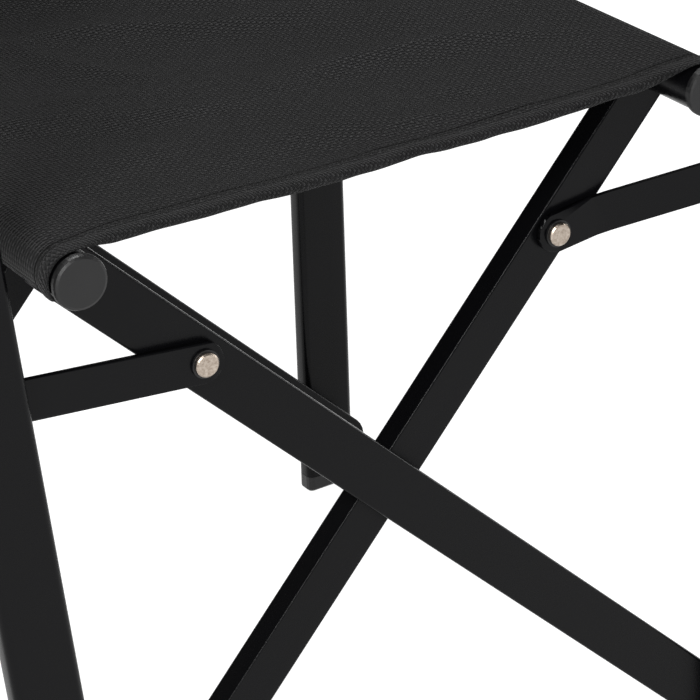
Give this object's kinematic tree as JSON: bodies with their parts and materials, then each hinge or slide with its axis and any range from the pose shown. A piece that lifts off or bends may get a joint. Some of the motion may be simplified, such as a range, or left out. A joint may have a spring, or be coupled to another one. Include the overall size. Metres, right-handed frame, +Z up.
{
  "type": "folding chair",
  "caption": "Folding director's chair with a sling seat on tubes between crossed legs, flat link bars, arm rails and a sling back.",
  "frame": {"origin": "on the floor, at the centre of the open chair's footprint", "axes": "+Z up, +Y from the chair's front to its back, +X to the right as seen from the front"},
  "size_m": [0.5384, 0.5166, 0.8376],
  "materials": {
    "frame_coat": "black powder coat, satin",
    "plastic": "moulded, satin black",
    "nickel": "nickel-plated, worn satin",
    "cloth": "coarse twill, matte black"
  },
  "bodies": {
    "left_frame": {"left_front_post": "frame_coat", "left_front_foot": "plastic", "left_front_pivot_pin": "nickel", "left_front_spacer": "plastic", "left_rear_post": "frame_coat", "left_rear_foot": "plastic", "left_rear_pivot_pin": "nickel", "left_rear_spacer": "plastic", "left_arm_rail": "frame_coat", "left_arm_screw": "nickel", "left_arm_pad": "plastic", "left_post_plug": "plastic", "back_left_sleeve": "cloth", "back_panel": "cloth"},
    "inner_legs": {"front_inner_leg": "frame_coat", "rear_inner_leg": "frame_coat", "right_seat_tube": "frame_coat", "right_front_tube_cap": "plastic", "right_rear_tube_cap": "plastic", "right_front_link_bush": "plastic", "right_rear_link_bush": "plastic", "right_front_link_rivet": "nickel", "right_rear_link_rivet": "nickel", "seat_right_sleeve": "cloth"},
    "outer_legs": {"front_outer_leg": "frame_coat", "front_centre_pin": "nickel", "front_centre_washer": "plastic", "rear_outer_leg": "frame_coat", "rear_centre_pin": "nickel", "rear_centre_washer": "plastic", "left_seat_tube": "frame_coat", "left_front_tube_cap": "plastic", "left_rear_tube_cap": "plastic", "left_front_link_bush": "plastic", "left_rear_link_bush": "plastic", "left_front_link_rivet": "nickel", "left_rear_link_rivet": "nickel", "seat_left_sleeve": "cloth", "seat_panel": "cloth"},
    "right_frame": {"right_front_post": "frame_coat", "right_front_foot": "plastic", "right_front_pivot_pin": "nickel", "right_front_spacer": "plastic", "right_rear_post": "frame_coat", "right_rear_foot": "plastic", "right_rear_pivot_pin": "nickel", "right_rear_spacer": "plastic", "right_arm_rail": "frame_coat", "right_arm_screw": "nickel", "right_arm_pad": "plastic", "right_post_plug": "plastic", "back_right_sleeve": "cloth"},
    "left_front_link": {"left_front_link": "frame_coat", "left_front_link_post_rivet": "nickel"},
    "left_rear_link": {"left_rear_link": "frame_coat", "left_rear_link_post_rivet": "nickel"},
    "right_front_link": {"right_front_link": "frame_coat", "right_front_link_post_rivet": "nickel"},
    "right_rear_link": {"right_rear_link": "frame_coat", "right_rear_link_post_rivet": "nickel"}
  },
  "joints": [
    {"name": "fold", "type": "hinge", "parent": "left_frame", "child": "inner_legs", "pos_m": [-0.2084, 0, 0.044], "axis": [0, -1, 0], "range_deg": [0, 34.02], "deforming": ["back_panel"]},
    {"name": "centre_pivot", "type": "hinge", "parent": "inner_legs", "child": "outer_legs", "pos_m": [0, 0, 0.2598], "axis": [0, -1, 0], "range_deg": [-68.05, 0], "deforming": ["seat_panel"]},
    {"name": "right_pivot", "type": "hinge", "parent": "outer_legs", "child": "right_frame", "pos_m": [0.2084, 0, 0.044], "axis": [0, -1, 0], "range_deg": [0, 34.03]},
    {"name": "left_front_link_pivot", "type": "hinge", "parent": "outer_legs", "child": "left_front_link", "pos_m": [-0.10976, 0, 0.37346], "axis": [0, -1, 0], "range_deg": [0, 108.82]},
    {"name": "left_rear_link_pivot", "type": "hinge", "parent": "outer_legs", "child": "left_rear_link", "pos_m": [-0.10976, 0, 0.37346], "axis": [0, -1, 0], "range_deg": [0, 108.82]},
    {"name": "right_front_link_pivot", "type": "hinge", "parent": "inner_legs", "child": "right_front_link", "pos_m": [0.10976, 0, 0.37346], "axis": [0, -1, 0], "range_deg": [-108.82, 0]},
    {"name": "right_rear_link_pivot", "type": "hinge", "parent": "inner_legs", "child": "right_rear_link", "pos_m": [0.10976, 0, 0.37346], "axis": [0, -1, 0], "range_deg": [-108.82, 0]}
  ],
  "couplings": [
    {"joint": "centre_pivot", "follows": "fold", "ratio": -2},
    {"joint": "right_pivot", "follows": "fold", "ratio": 1},
    {"joint": "left_front_link_pivot", "follows": "fold", "ratio": 3.1986},
    {"joint": "left_rear_link_pivot", "follows": "fold", "ratio": 3.1986},
    {"joint": "right_front_link_pivot", "follows": "fold", "ratio": -3.1986},
    {"joint": "right_rear_link_pivot", "follows": "fold", "ratio": -3.1986}
  ]
}
